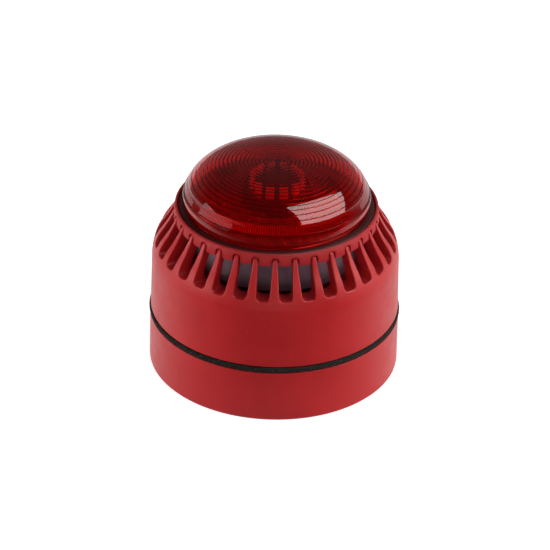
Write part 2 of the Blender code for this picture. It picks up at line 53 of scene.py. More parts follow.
# Sound slots
SLOT_COUNT = 33
SLOT_WIDTH = 4.95
SLOT_FLARE = 0.28  # how much further each side of a slot stands off at its top
FIRST_RIB = -90.0  # degrees: a rib faces the front
SLOT_BOTTOM = 49.2
SLOT_CORNER = 1.5
SLOT_EDGE = 0.42
SLOT_SKIRT = 46.2  # the ribs' sections start here, under the slots
RIB_INNER_RADIUS = 38.0

# Collar of teeth between the ribs
COLLAR_RADIUS = 37.35
COLLAR_WALL = 1.3
COLLAR_TOP = 64.7
TOOTH_BOTTOM = 60.15
TOOTH_HALF_WIDTH = 2.15
NOTCH_SPRING = 61.95

# Lens
LENS_TOP = 82.5
DOME_RADIUS = 38.96
DOME_CENTRE = 22.29
DOME_POWER = 3.96
LENS_WALL = 2.0
FLUTE_COUNT = 240
FLUTE_TOP = (32.2, 73.55)  # radius and height
FLUTE_BOTTOM = (33.75, 70.6)
FLUTE_DEPTH = 0.10
LIP_FLUTE_DEPTH = 0.05
FLANGE_BOTTOM = 66.4
LENS_BOTTOM = 64.4
GROOVE_PITCH = 1.45
GROOVE_DEPTH = 0.035
GROOVE_WIDTH = 0.30
GROOVE_LAST = 30.0

# Lamps on the beacon's carrier
LAMP_COUNT = 12
LAMP_RADIUS = 9.6
LAMP_BOTTOM = 71.05
LAMP_SIZE = (1.2, 3.0, 4.2)  # through, across, up

# Camera, as it stands 1.2 m away
CAMERA_DISTANCE = 1200.0
CAMERA_ELEVATION = 31.25
CAMERA_TARGET = 30.0
CAMERA_ROLL = 1.337
CAMERA_LENS = 211.95
CAMERA_SHIFT_X = 0.0004
CAMERA_SHIFT_Y = 0.0172

FLOOR_GLOW = 0.80
FILL_FROM_SKY = 0.16
POWERS = {"right": 2.5, "right_sheen": 10.5, "left": 2.5, "side_right": 34.0, "side_left": 27.0, "front_fill": 8.8}
SKY_IN_GLOSS = 0.015
BACK_IN_GLOSS = ((0.0, 0.95, 0.0, 1.0), (0.08, 0.60, 0.28, 0.07))  # along +Y, then up: from, to and strengths
FLOOR_IN_GLOSS = (-0.11, 0.01, 0.04, 0.95)  # metres from the axis, then strengths


# ---------------------------------------------------------------- mesh helpers


def polar(radius, azimuth, height):
    """A point in millimetres, its azimuth in radians."""
    return (radius * math.cos(azimuth), radius * math.sin(azimuth), height)


class Skin:
    """Gathers sheets of points into one mesh."""

    def __init__(self):
        self.points = []
        self.faces = []

    def sheet(self, rows, closed=False):
        """Joins rows of equal length with quads. A closed sheet also joins each row's end to its start."""
        start = len(self.points)
        count = len(rows[0])
        for row in rows:
            self.points.extend(row)
        last = count if closed else count - 1
        for i in range(len(rows) - 1):
            low = start + i * count
            high = low + count
            for j in range(last):
                k = (j + 1) % count
                self.faces.append((low + j, low + k, high + k, high + j))

    def cap(self, row):
        """Closes a round row with one face."""
        start = len(self.points)
        self.points.extend(row)
        self.faces.append(tuple(range(start, start + len(row))))

    def finished(self, name, copies=1, start=0.0):
        """The mesh object, after turned copies about +Z are joined edge to edge. The first is turned to start."""
        mesh = bpy.data.meshes.new(name)
        mesh.from_pydata([Vector(point) * MM for point in self.points], [], self.faces)
        shape = bmesh.new()
        for i in range(copies):
            turned_mesh = mesh.copy()
            turned_mesh.transform(Matrix.Rotation(start + 2 * math.pi * i / copies, 4, "Z"))
            shape.from_mesh(turned_mesh)
            bpy.data.meshes.remove(turned_mesh)
        bmesh.ops.remove_doubles(shape, verts=shape.verts, dist=WELD)
        bmesh.ops.recalc_face_normals(shape, faces=shape.faces)
        shape.to_mesh(mesh)
        shape.free()
        piece = bpy.data.objects.new(name, mesh)
        bpy.context.scene.collection.objects.link(piece)
        mesh.shade_smooth()
        return piece


def ring(radius, height, steps):
    return [polar(radius, 2 * math.pi * i / steps, height) for i in range(steps)]


def turned(name, profile, steps, closed=True):
    """A piece turned about +Z from a profile of (radius, height)."""
    skin = Skin()
    path = list(profile)
    if closed:
        path.append(path[0])
    skin.sheet([ring(radius, height, steps) for radius, height in path], closed=True)
    return skin.finished(name)


def arc(centre, radius, start, end, count):
    """Points of a circular arc, its angles in degrees."""
    points = []
    for i in range(count):
        angle = math.radians(start + (end - start) * i / (count - 1))
        points.append((centre[0] + radius * math.cos(angle), centre[1] + radius * math.sin(angle)))
    return points


def rounded(profile, radius, count=4):
    """A closed profile with each corner replaced by a small arc."""
    result = []
    total = len(profile)
    for i, corner in enumerate(profile):
        here = Vector(corner)
        back = Vector(profile[i - 1]) - here
        ahead = Vector(profile[(i + 1) % total]) - here
        reach = min(radius, back.length * 0.45, ahead.length * 0.45)
        start = here + back.normalized() * reach
        end = here + ahead.normalized() * reach
        for j in range(count):
            t = j / (count - 1)
            point = start * (1 - t) ** 2 + here * 2 * t * (1 - t) + end * t**2
            result.append((point.x, point.y))
    return result


def smooth_sharp(piece, degrees=32):
    piece.data.set_sharp_from_angle(angle=math.radians(degrees))
    return piece


def weighted(piece):
    """Keeps broad faces flat beside their small rounded edges."""
    modifier = piece.modifiers.new("weighted_normals", "WEIGHTED_NORMAL")
    modifier.keep_sharp = True
    modifier.weight = 80
    return piece


def dress(piece, material, body, *nodes, slot=None):
    """Gives a new piece its material and its body, and hides the CAD nodes that it stands for."""
    piece.data.materials.clear()
    piece.data.materials.append(material)
    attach(piece, body)
    if nodes:
        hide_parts(*nodes)
    return piece


# ---------------------------------------------------------------- material helpers


class Finish:
    """A node material built round one Principled shader."""

    def __init__(self, name, colour, roughness, metallic=0.0):
        self.material = bpy.data.materials.new(name)
        self.material.use_nodes = True
        self.tree = self.material.node_tree
        self.shader = self.tree.nodes["Principled BSDF"]
        self.output = self.tree.nodes["Material Output"]
        self.set("Base Color", (*colour, 1.0))
        self.set("Roughness", roughness)
        self.set("Metallic", metallic)
        self.place = self.node("ShaderNodeTexCoord").outputs["Object"]

    def set(self, socket, value):
        self.shader.inputs[socket].default_value = value

    def node(self, kind, **values):
        made = self.tree.nodes.new(kind)
        for key, value in values.items():
            setattr(made, key, value)
        return made

    def link(self, source, target):
        self.tree.links.new(source, target)

    def noise(self, grain, detail=3.0, roughness=0.55):
        """Noise whose features are about a grain in millimetres."""
        texture = self.node("ShaderNodeTexNoise")
        texture.inputs["Scale"].default_value = 1 / (grain * MM)
        texture.inputs["Detail"].default_value = detail
        texture.inputs["Roughness"].default_value = roughness
        self.link(self.place, texture.inputs["Vector"])
        return texture.outputs["Fac"]

    def ramp(self, source, stops):
        """A colour ramp: stops are (place, colour or grey value)."""
        node = self.node("ShaderNodeValToRGB")
        elements = node.color_ramp.elements
        while len(elements) < len(stops):
            elements.new(0.5)
        for element, (where, value) in zip(elements, stops):
            element.position = where
            element.color = (*value, 1.0) if isinstance(value, tuple) else (value, value, value, 1.0)
        self.link(source, node.inputs["Fac"])
        return node.outputs["Color"]

    def mix(self, share, first, second, blend="MIX"):
        """Colours mixed by a share, each either a colour or a node's output."""
        node = self.node("ShaderNodeMix", data_type="RGBA", blend_type=blend)
        for socket, value in (("Factor", share), ("A", first), ("B", second)):
            target = [entry for entry in node.inputs if entry.name == socket and entry.enabled][0]
            if isinstance(value, bpy.types.NodeSocket):
                self.link(value, target)
            else:
                target.default_value = value if socket == "Factor" else (*value, 1.0)
        return [entry for entry in node.outputs if entry.enabled][0]

    def bump(self, height, depth, strength=1.0, under=None):
        """Relief of a depth in millimetres, laid over another relief if one is given."""
        node = self.node("ShaderNodeBump")
        node.inputs["Strength"].default_value = strength
        node.inputs["Distance"].default_value = depth * MM
        self.link(height, node.inputs["Height"])
        if under is not None:
            self.link(under, node.inputs["Normal"])
        return node.outputs["Normal"]

    def edges(self, low=0.5, high=0.58):
        """0 on flats and 1 along outward edges."""
        geometry = self.node("ShaderNodeNewGeometry")
        return self.ramp(geometry.outputs["Pointiness"], [(low, 0.0), (high, 1.0)])

    def ring_share(self):
        """From 0 to 1 and back over each ring of grooves about the axis."""
        split = self.node("ShaderNodeSeparateXYZ")
        self.link(self.place, split.inputs["Vector"])
        flat = self.node("ShaderNodeCombineXYZ")
        self.link(split.outputs["X"], flat.inputs["X"])
        self.link(split.outputs["Y"], flat.inputs["Y"])
        radius = self.node("ShaderNodeVectorMath", operation="LENGTH")
        self.link(flat.outputs["Vector"], radius.inputs[0])
        turns = self.node("ShaderNodeMath", operation="PINGPONG")
        turns.inputs[1].default_value = GROOVE_PITCH * MM / 2
        self.link(radius.outputs["Value"], turns.inputs[0])
        share = self.node("ShaderNodeMath", operation="DIVIDE")
        share.inputs[1].default_value = GROOVE_PITCH * MM / 2
        self.link(turns.outputs["Value"], share.inputs[0])
        return share.outputs["Value"]

    def ring_glints(self, surface):
        """The surface with soft red reflections in rings about the axis, and a thin painted dark line in each ring as
        painted shade over the grooves.
        """
        share = self.ring_share()
        glint = self.node("ShaderNodeBsdfGlossy")
        glint.inputs["Color"].default_value = (0.90, 0.03, 0.03, 1.0)
        glint.inputs["Roughness"].default_value = 0.12
        # A thin dark line in each ring: painted shade.
        shade = self.node("ShaderNodeBsdfDiffuse")
        shade.inputs["Color"].default_value = (0.030, 0.001, 0.001, 1.0)
        for stops, shader in (([(0.45, 0.02), (0.7, 0.20)], glint), ([(0.74, 0.0), (0.90, 0.55)], shade)):
            both = self.node("ShaderNodeMixShader")
            self.link(self.ramp(share, stops), both.inputs["Fac"])
            self.link(surface, both.inputs[1])
            self.link(shader.outputs["BSDF"], both.inputs[2])
            surface = both.outputs["Shader"]
        return surface

    def ring_breaks(self, surface):
        """The surface with thin rings that let light in and reflect none, one over each inner groove."""
        clear = self.node("ShaderNodeBsdfRefraction")
        clear.inputs["Color"].default_value = (0.62, 0.006, 0.005, 1.0)
        clear.inputs["Roughness"].default_value = 0.05
        clear.inputs["IOR"].default_value = 1.55
        both = self.node("ShaderNodeMixShader")
        self.link(self.ramp(self.ring_share(), [(0.66, 0.0), (0.92, 0.80)]), both.inputs["Fac"])
        self.link(surface, both.inputs[1])
        self.link(clear.outputs["BSDF"], both.inputs[2])
        return both.outputs["Shader"]

    def painted_flute_glow(self, most):
        """A share of painted glow: painted light that rises in each flute and towards the front-left of the lens at
        -Y, fixed to the lens.
        """
        split = self.node("ShaderNodeSeparateXYZ")
        self.link(self.place, split.inputs["Vector"])
        turn = self.node("ShaderNodeMath", operation="ARCTAN2")
        self.link(split.outputs["Y"], turn.inputs[0])
        self.link(split.outputs["X"], turn.inputs[1])
        pitch = self.node("ShaderNodeMath", operation="PINGPONG")
        pitch.inputs[1].default_value = math.pi / FLUTE_COUNT
        self.link(turn.outputs["Value"], pitch.inputs[0])
        across = self.node("ShaderNodeMapRange")
        across.inputs["From Max"].default_value = math.pi / FLUTE_COUNT
        across.inputs["To Min"].default_value = 0.15
        self.link(pitch.outputs["Value"], across.inputs["Value"])
        facing = self.node("ShaderNodeVectorMath", operation="DOT_PRODUCT")
        facing.inputs[1].default_value = (0.30, 0.95, 0.0)
        self.link(self.place, facing.inputs[0])
        front = self.node("ShaderNodeMapRange", interpolation_type="SMOOTHSTEP")
        for socket, value in zip(("From Min", "From Max", "To Min", "To Max"), (-0.0325, -0.024, most, most * 0.12)):
            front.inputs[socket].default_value = value
        self.link(facing.outputs["Value"], front.inputs["Value"])
        glow = self.node("ShaderNodeMath", operation="MULTIPLY")
        self.link(across.outputs["Result"], glow.inputs[0])
        self.link(front.outputs["Result"], glow.inputs[1])
        return glow.outputs["Value"]

    def wire(self, **sources):
        """Links outputs to the shader's sockets, such as Base_Color=output."""
        for socket, source in sources.items():
            self.link(source, self.shader.inputs[socket.replace("_", " ")])
        return self.material


def moulded(name, colour, roughness, grain=0.35, depth=0.012, variation=0.12, edge=None, gloss=0.5):
    """Moulded plastic: fine texture, slow changes of tone and gloss, and, where an edge colour is given, a painted
    highlight along the edges.
    """
    finish = Finish(name, colour, roughness)
    dark = tuple(channel * (1 - variation) for channel in colour)
    light = tuple(min(1.0, channel * (1 + variation)) for channel in colour)
    tone = finish.ramp(finish.noise(14.0, 4.0), [(0.3, dark), (0.7, light)])
    # edge is the colour of a painted highlight along the edges.
    if edge:
        tone = finish.mix(finish.edges(), tone, edge)
    finish.set("Specular IOR Level", gloss)
    rough = finish.ramp(finish.noise(5.0, 6.0), [(0.3, roughness * 0.88), (0.75, min(1.0, roughness * 1.14))])
    relief = finish.bump(finish.noise(grain, 2.0), depth)
    return finish.wire(Base_Color=tone, Roughness=rough, Normal=relief)


def make_casing_plastic():
    colour = (0.42, 0.0105, 0.0125)
    finish = Finish("red_casing_plastic", colour, 0.4)
    tone = finish.ramp(
        finish.noise(16.0, 5.0), [(0.28, (0.385, 0.0085, 0.0105)), (0.72, (0.455, 0.0125, 0.0145))]
    )
    # Edges painted lighter: a painted highlight along the rounded rims of the ribs and slots.
    tone = finish.mix(finish.edges(0.53, 0.62), tone, (0.56, 0.050, 0.052))
    dust = finish.ramp(finish.noise(0.9, 2.0, 0.4), [(0.735, 0.0), (0.775, 0.35)])
    tone = finish.mix(dust, tone, (0.5, 0.16, 0.15))
    gloss = finish.ramp(finish.noise(4.0, 6.0), [(0.3, 0.34), (0.75, 0.46)])
    orange_peel = finish.bump(finish.noise(1.6, 2.0), 0.010)
    relief = finish.bump(finish.noise(0.22, 2.0), 0.006, under=orange_peel)
    finish.set("Specular IOR Level", 0.45)
    return finish.wire(Base_Color=tone, Roughness=gloss, Normal=relief)


def make_foam():
    """Closed black foam with torn cells and pale specks."""
    finish = Finish("gasket_foam", (0.010, 0.008, 0.007), 0.95)
    finish.set("Specular IOR Level", 0.25)
    cells = finish.node("ShaderNodeTexVoronoi", feature="F1")
    cells.inputs["Scale"].default_value = 1 / (0.45 * MM)
    finish.link(finish.place, cells.inputs["Vector"])
    tone = finish.ramp(finish.noise(0.5, 5.0), [(0.35, (0.004, 0.0035, 0.003)), (0.72, (0.028, 0.023, 0.020))])
    specks = finish.ramp(finish.noise(0.42, 1.0, 0.3), [(0.66, 0.0), (0.72, 0.8)])
    tone = finish.mix(specks, tone, (0.10, 0.085, 0.075))
    relief = finish.bump(cells.outputs["Distance"], 0.16)
    return finish.wire(Base_Color=tone, Normal=relief)


def make_lens_plastic(name, glow=0.0, grooved=False):
    """Clear red plastic. Light that reaches the beacon passes through it tinted, not blocked.

    The glow is the share of light that scatters inside the wall and comes out red; without grooves this share is
    painted light, strongest at the front and in each flute. The grooved kind, for the inner face, throws back a
    little red light from each ring and has a thin painted dark line in each.
    """
    finish = Finish(name, (0.62, 0.0035, 0.0028), 0.025)
    finish.set("IOR", 1.55)
    finish.set("Transmission Weight", 0.93)
    haze = finish.ramp(finish.noise(6.0, 6.0), [(0.35, 0.012), (0.8, 0.05)])
    scratches = finish.node("ShaderNodeTexNoise")
    scratches.inputs["Scale"].default_value = 1 / (2.4 * MM)
    scratches.inputs["Distortion"].default_value = 0.4
    finish.link(finish.place, scratches.inputs["Vector"])
    relief = finish.bump(scratches.outputs["Fac"], 0.0015)
    finish.wire(Roughness=haze, Normal=relief)
    surface = finish.shader.outputs["BSDF"]
    if grooved:
        surface = finish.ring_glints(surface)
    elif not glow:
        surface = finish.ring_breaks(surface)
    if glow:
        scattered = finish.node("ShaderNodeBsdfTranslucent")
        scattered.inputs["Color"].default_value = (0.95, 0.008, 0.006, 1.0)
        lit = finish.node("ShaderNodeMixShader")
        if grooved:
            lit.inputs["Fac"].default_value = glow
        else:
            finish.link(finish.painted_flute_glow(glow), lit.inputs["Fac"])
        finish.link(surface, lit.inputs[1])
        finish.link(scattered.outputs["BSDF"], lit.inputs[2])
        surface = lit.outputs["Shader"]
    path = finish.node("ShaderNodeLightPath")
    tinted = finish.node("ShaderNodeBsdfTransparent")
    tinted.inputs["Color"].default_value = (0.97, 0.012, 0.010, 1.0)
    both = finish.node("ShaderNodeMixShader")
    finish.link(path.outputs["Is Shadow Ray"], both.inputs["Fac"])
    finish.link(surface, both.inputs[1])
    finish.link(tinted.outputs["BSDF"], both.inputs[2])
    finish.link(both.outputs["Shader"], finish.output.inputs["Surface"])
    return finish.material


def make_metal(name, dark, light, roughness):
    """Metal strip with fine rolling marks and light tarnish."""
    finish = Finish(name, light, roughness, metallic=1.0)
    tone = finish.ramp(finish.noise(2.2, 5.0), [(0.3, dark), (0.65, light)])
    gloss = finish.ramp(finish.noise(0.6, 5.0), [(0.3, roughness * 0.8), (0.75, roughness * 1.5)])
    relief = finish.bump(finish.noise(0.12, 2.0), 0.003)
    return finish.wire(Base_Color=tone, Roughness=gloss, Normal=relief)


def make_board(name, mask, track, gap):
    """A circuit board: solder mask over wandering tracks, with tinned pads."""
    finish = Finish(name, mask, 0.55)
    finish.set("Specular IOR Level", 0.25)
    tracks = finish.node("ShaderNodeTexWave", wave_type="BANDS", bands_direction="DIAGONAL")
    tracks.inputs["Scale"].default_value = 1 / (gap * MM) / 6
    tracks.inputs["Distortion"].default_value = 5.0
    tracks.inputs["Detail"].default_value = 1.0
    finish.link(finish.place, tracks.inputs["Vector"])
    copper = finish.ramp(tracks.outputs["Fac"], [(0.62, 0.0), (0.68, 1.0)])
    pads = finish.node("ShaderNodeTexVoronoi", feature="F1")
    pads.inputs["Scale"].default_value = 1 / (3.2 * MM)
    pads.inputs["Randomness"].default_value = 0.85
    finish.link(finish.place, pads.inputs["Vector"])
    dots = finish.ramp(pads.outputs["Distance"], [(0.13, 1.0), (0.15, 0.0)])
    tone = finish.mix(copper, mask, track)
    tone = finish.mix(dots, tone, (0.62, 0.60, 0.56))
    relief = finish.bump(copper, 0.03)
    return finish.wire(Base_Color=tone, Normal=relief)


def make_led_package():
    """A pale package with a round window of yellow phosphor."""
    finish = Finish("led_package", (0.95, 0.86, 0.55), 0.3)
    tone = finish.ramp(
        finish.noise(0.5, 3.0), [(0.3, (0.92, 0.74, 0.28)), (0.7, (0.98, 0.88, 0.50))]
    )
    relief = finish.bump(finish.noise(0.2, 2.0), 0.01)
    return finish.wire(Base_Color=tone, Normal=relief)


def make_winding():
    """Enamelled copper wire, turn beside turn."""
    finish = Finish("copper_winding", (0.55, 0.20, 0.08), 0.32, metallic=1.0)
    turns = finish.node("ShaderNodeTexWave", wave_type="BANDS", bands_direction="Z")
    turns.inputs["Scale"].default_value = 1 / (0.28 * MM) / 6.283
    finish.link(finish.place, turns.inputs["Vector"])
    tone = finish.ramp(turns.outputs["Fac"], [(0.1, (0.20, 0.06, 0.025)), (0.6, (0.62, 0.25, 0.10))])
    relief = finish.bump(turns.outputs["Fac"], 0.05)
    return finish.wire(Base_Color=tone, Normal=relief)


def make_floor_material():
    """Pale to the camera, grey as a light bounce, and in the gloss pale beside and behind the object only."""
    finish = Finish("studio_floor", (0.80, 0.80, 0.80), 0.9)
    tone = finish.ramp(finish.noise(60.0, 4.0), [(0.3, (0.79, 0.79, 0.79)), (0.7, (0.81, 0.81, 0.81))])
    finish.wire(Base_Color=tone)
    finish.set("Emission Color", (1.0, 1.0, 1.0, 1.0))
    finish.set("Emission Strength", FLOOR_GLOW)
    grey = finish.node("ShaderNodeBsdfDiffuse")
    grey.inputs["Color"].default_value = (0.30, 0.30, 0.30, 1.0)
    split = finish.node("ShaderNodeSeparateXYZ")
    finish.link(finish.place, split.inputs["Vector"])
    depth = finish.node("ShaderNodeMapRange", interpolation_type="SMOOTHSTEP")
    for socket, value in zip(("From Min", "From Max", "To Min", "To Max"), FLOOR_IN_GLOSS):
        depth.inputs[socket].default_value = value
    finish.link(split.outputs["Y"], depth.inputs["Value"])
    gloss = finish.node("ShaderNodeEmission")
    finish.link(depth.outputs["Result"], gloss.inputs["Strength"])
    path = finish.node("ShaderNodeLightPath")
    surface = grey.outputs["BSDF"]
    for kind, shader in (("Is Glossy Ray", gloss.outputs["Emission"]), ("Is Camera Ray", finish.shader.outputs["BSDF"])):
        both = finish.node("ShaderNodeMixShader")
        finish.link(path.outputs[kind], both.inputs["Fac"])
        finish.link(surface, both.inputs[1])
        finish.link(shader, both.inputs[2])
        surface = both.outputs["Shader"]
    finish.link(surface, finish.output.inputs["Surface"])
    return finish.material


# ---------------------------------------------------------------- casing


def casing_outer_line():
    """Evenly spaced points up the skirt and the shoulder, then over the ribs' ends."""
    centre = SHOULDER_RADIUS - SHOULDER_ARC
    first = math.degrees(math.asin((SLOT_SKIRT - SHOULDER_START) / SHOULDER_ARC))
    line = arc((centre, SHOULDER_START), SHOULDER_ARC, first, 36.0, 50)
    line += [(40.72, 55.95), (39.80, 57.45), (38.96, 58.95), (38.24, 60.35), (37.75, 61.35)]
    line += arc((36.4, 61.75), 1.1, 18, 90, 6)
    line += [(35.4, 62.85), (34.4, 62.85)]
    return resampled(line, 120)


def resampled(line, count):
    """The same line with evenly spaced points."""
    lengths = [0.0]
    for a, b in zip(line, line[1:]):
        lengths.append(lengths[-1] + math.dist(a, b))
    result = []
    j = 0
    for i in range(count):
        wanted = lengths[-1] * i / (count - 1)
        while j < len(line) - 2 and lengths[j + 1] < wanted:
            j += 1
        t = (wanted - lengths[j]) / (lengths[j + 1] - lengths[j])
        result.append(tuple(p * (1 - t) + q * t for p, q in zip(line[j], line[j + 1])))
    return result


CASING_LINE = casing_outer_line()
FIRST_SLOT = math.radians(FIRST_RIB + 180 / SLOT_COUNT)
CASING_LENGTH = sum(math.dist(a, b) for a, b in zip(CASING_LINE, CASING_LINE[1:]))


def casing_point(across, along, depth):
    """A point of one slot's sector.

    across is the distance from the slot's middle, along the length up the outer line, and depth the way in from
    the outer face (0) to the inner face (1). The sector's own middle faces +X.
    """
    share = min(max(along / CASING_LENGTH, 0.0), 1.0)
    place = share * (len(CASING_LINE) - 1)
    i = min(int(place), len(CASING_LINE) - 2)
    t = place - i
    outer = [CASING_LINE[i][k] * (1 - t) + CASING_LINE[i + 1][k] * t for k in (0, 1)]
    inner_radius = RIB_INNER_RADIUS - max(0.0, outer[1] - 52.0) * 0.5
    tuck = max(0.0, along - (CASING_LENGTH - 4.5)) / 4.5
    inner_radius = min(inner_radius, outer[0] - 1.0)
    inner = (inner_radius, outer[1] - 2.2 * tuck)
    radius = outer[0] * (1 - depth) + inner[0] * depth
    height = outer[1] * (1 - depth) + inner[1] * depth
    return radius, height, across


def sector_xyz(radius, height, across):
    return (math.sqrt(max(radius * radius - across * across, 0.0)), across, height)


def slot_half_width(along):
    """Half the gap between two ribs, which grows a little towards their ends."""
    start = along_at_height(SLOT_BOTTOM)
    return SLOT_WIDTH / 2 + SLOT_FLARE * min(1.0, max(0.0, along - start) / 14.0)


def slot_path():
    """One slot's edge in (across, along), open at the top, with the matching points of the sector's border."""
    bottom = along_at_height(SLOT_BOTTOM)
    corner = SLOT_CORNER
    half = SLOT_WIDTH / 2
    side_points = 30
    edge, border = [], []
    for i in range(side_points):
        along = CASING_LENGTH + (bottom + corner - CASING_LENGTH) * i / side_points
        edge.append((-slot_half_width(along), along))
        border.append((-1.0, along))
    corner_steps = 7
    for i in range(corner_steps):
        angle = math.pi + math.pi / 2 * i / (corner_steps - 1)
        x = -half + corner + corner * math.cos(angle)
        y = bottom + corner + corner * math.sin(angle)
        edge.append((x, y))
        t = i / (corner_steps - 1)
        low = bottom + corner
        border.append((-1.0, low * (1 - t)) if t < 1 else (-1.0, 0.0))
    flat_steps = CASING_COLUMNS - 1
    reach = half - corner
    for i in range(1, flat_steps + 1):
        t = i / (flat_steps + 1)
        edge.append((-reach + 2 * reach * t, bottom))
        border.append((-1.0 + 2.0 * t, 0.0))
    mirrored = [(-x, y) for x, y in reversed(edge[: side_points + corner_steps])]
    mirrored_border = [(-x, y) for x, y in reversed(border[: side_points + corner_steps])]
    return edge + mirrored, border + mirrored_border


def along_at_height(height):
    """The length up the casing's outer line where it reaches a height."""
    total = 0.0
    for a, b in zip(CASING_LINE, CASING_LINE[1:]):
        if b[1] >= height:
            return total + math.dist(a, b) * (height - a[1]) / (b[1] - a[1])
        total += math.dist(a, b)
    return total


def path_normals(path):
    """Unit vectors square to a path, pointing out of the slot."""
    normals = []
    for i in range(len(path)):
        a = path[max(i - 1, 0)]
        b = path[min(i + 1, len(path) - 1)]
        along = Vector((b[0] - a[0], b[1] - a[1])).normalized()
        normals.append((along.y, -along.x))
    return normals


def border_point(mark, depth):
    """A point of the sector's border: mark is (-1 to 1 across the sector, along)."""
    radius, height, _ = casing_point(0.0, mark[1], depth)
    angle = mark[0] * math.pi / SLOT_COUNT
    return polar(radius, angle, height)


def slot_sector(skin):
    edge, border = slot_path()
    normals = path_normals(edge)
    rows = []
    # The outer face, from the sector's border to the start of the rounded edge
    for share in (0.0, 0.35, 0.7, 0.9, 1.0):
        row = []
        for point, mark, normal in zip(edge, border, normals):
            swollen = (point[0] + normal[0] * SLOT_EDGE, point[1] + normal[1] * SLOT_EDGE)
            radius, height, across = casing_point(*swollen, 0.0)
            angle = math.asin(across / radius)
            _, along_low = mark
            along = along_low * (1 - share) + swollen[1] * share
            low_angle = mark[0] * math.pi / SLOT_COUNT
            radius, height, _ = casing_point(0.0, along, 0.0)
            row.append(polar(radius, low_angle * (1 - share) + angle * share, height))
        rows.append(row)
    # The rounded edge
    for i in range(1, 6):
        turn = math.pi / 2 * i / 5
        out = SLOT_EDGE * (1 - math.sin(turn))
        deep = SLOT_EDGE * (1 - math.cos(turn))
        rows.append(slot_row(edge, normals, out, deep))
    # The slot's wall, then its inner rounded edge
    for share in (0.08, 0.3, 0.6, 0.9):
        rows.append(slot_row(edge, normals, 0.0, None, share))
    rows.append(slot_row(edge, normals, 0.02, None, 0.97))
    rows.append(slot_row(edge, normals, 0.15, None, 1.0))
    rows.append([border_point(mark, 1.0) for mark in border])
    skin.sheet(rows)


def slot_row(edge, normals, out, deep, share=None):
    """One line of points round a slot, swollen by out, at a depth in millimetres or a share of the wall."""
    row = []
    for point, normal in zip(edge, normals):
        across = point[0] + normal[0] * out
        along = point[1] + normal[1] * out
        depth = share
        if depth is None:
            outer = casing_point(across, along, 0.0)
            inner = casing_point(across, along, 1.0)
            depth = deep / max(math.dist(outer[:2], inner[:2]), 0.5)
        radius, height, across = casing_point(across, along, depth)
        row.append(sector_xyz(radius, height, across))
    return row


def make_head_casing(material):
    """The cylindrical wall and the shoulder cut into ribs."""
    skin = Skin()
    slot_sector(skin)
    ribs = skin.finished("head_ribs", copies=SLOT_COUNT, start=FIRST_SLOT)
    weighted(smooth_sharp(ribs, 50))
    dress(ribs, material, "head", "head_shell", slot="red_casing")
    top_radius, top_height = CASING_LINE[0]
    profile = [(top_radius, top_height)]
    profile += [(SHOULDER_RADIUS - 0.02, 44.0), (SHOULDER_RADIUS, SHOULDER_START), (45.6, 37.0), (45.75, 30.0)]
    profile += [(HEAD_RADIUS, HEAD_BOTTOM + 0.9)]
    profile += arc((HEAD_RADIUS - 0.4, HEAD_BOTTOM + 0.4), 0.4, 0, -90, 5)
    profile += arc((43.6, HEAD_BOTTOM + 0.3), 0.3, -90, -180, 4)
    profile += [(43.3, 30.0), (43.3, 39.0), (38.0, 42.6), (RIB_INNER_RADIUS, top_height)]
    wall = turned("head_wall", profile, SLOT_COUNT * CASING_COLUMNS, closed=False)
    weighted(smooth_sharp(wall, 50))
    dress(wall, material, "head", "head_shell", slot="red_casing")


def make_collar(material):
    """The ring under the lens, whose teeth hang between the ribs."""
    edge = []
    half_pitch = COLLAR_RADIUS * math.sin(math.pi / SLOT_COUNT)
    notch = half_pitch - TOOTH_HALF_WIDTH
    for i in range(7):
        angle = math.pi / 2 - math.pi / 2 * i / 6
        edge.append((-half_pitch + notch * math.cos(angle), NOTCH_SPRING + notch * math.sin(angle)))
    edge += [(-TOOTH_HALF_WIDTH, NOTCH_SPRING - 0.6), (-TOOTH_HALF_WIDTH, TOOTH_BOTTOM + 0.5)]
    edge += arc((-TOOTH_HALF_WIDTH + 0.45, TOOTH_BOTTOM + 0.45), 0.45, 190, 270, 4)
    edge += [(-0.8, TOOTH_BOTTOM), (0.0, TOOTH_BOTTOM)]
    edge += [(-x, y) for x, y in reversed(edge[:-1])]
    normals = [(-x, -y) for x, y in path_normals(edge)]
    round_edge = 0.22

    def row(inset, depth):
        points = []
        for (x, y), (nx, ny) in zip(edge, normals):
            across = x - nx * inset
            if abs(abs(x) - half_pitch) < 1e-6:
                across = x * (COLLAR_RADIUS - depth) / COLLAR_RADIUS
            radius = COLLAR_RADIUS - depth + 0.06 * (COLLAR_TOP - y)
            points.append(sector_xyz(radius, y - ny * inset, across))
        return points

    def top(radius, height):
        count = len(edge)
        spread = [(-1 + 2 * i / (count - 1)) * math.pi / SLOT_COUNT for i in range(count)]
        return [polar(radius, angle, height) for angle in spread]

    skin = Skin()
    rows = [top(36.4, COLLAR_TOP), top(36.85, COLLAR_TOP - 0.08), top(37.2, COLLAR_TOP - 0.36), row(-round_edge, 0.0)]
    for i in range(1, 5):
        turn = math.pi / 2 * i / 4
        rows.append(row(-round_edge * (1 - math.sin(turn)), round_edge * (1 - math.cos(turn))))
    rows += [row(0.0, COLLAR_WALL), top(36.1, COLLAR_TOP - 0.3), top(36.4, COLLAR_TOP)]
    skin.sheet(rows)
    collar = skin.finished("lens_collar", copies=SLOT_COUNT, start=FIRST_SLOT)
    smooth_sharp(collar, 50)
    return dress(collar, material, "head", "head_shell", slot="red_casing")


def make_seat_ring(material):
    """The ledge inside the ribs' ends, which carries the beacon and the lens."""
    profile = rounded(
        [(35.8, 61.7), (35.8, 60.6), (33.0, 59.4), (31.9, 60.2), (31.9, 61.6), (34.2, 61.6), (34.2, 62.2), (35.6, 62.2)],
        0.2,
        3,
    )
    ledge = turned("beacon_seat", profile, 144)
    return dress(smooth_sharp(ledge), material, "head", "head_shell", slot="red_casing")


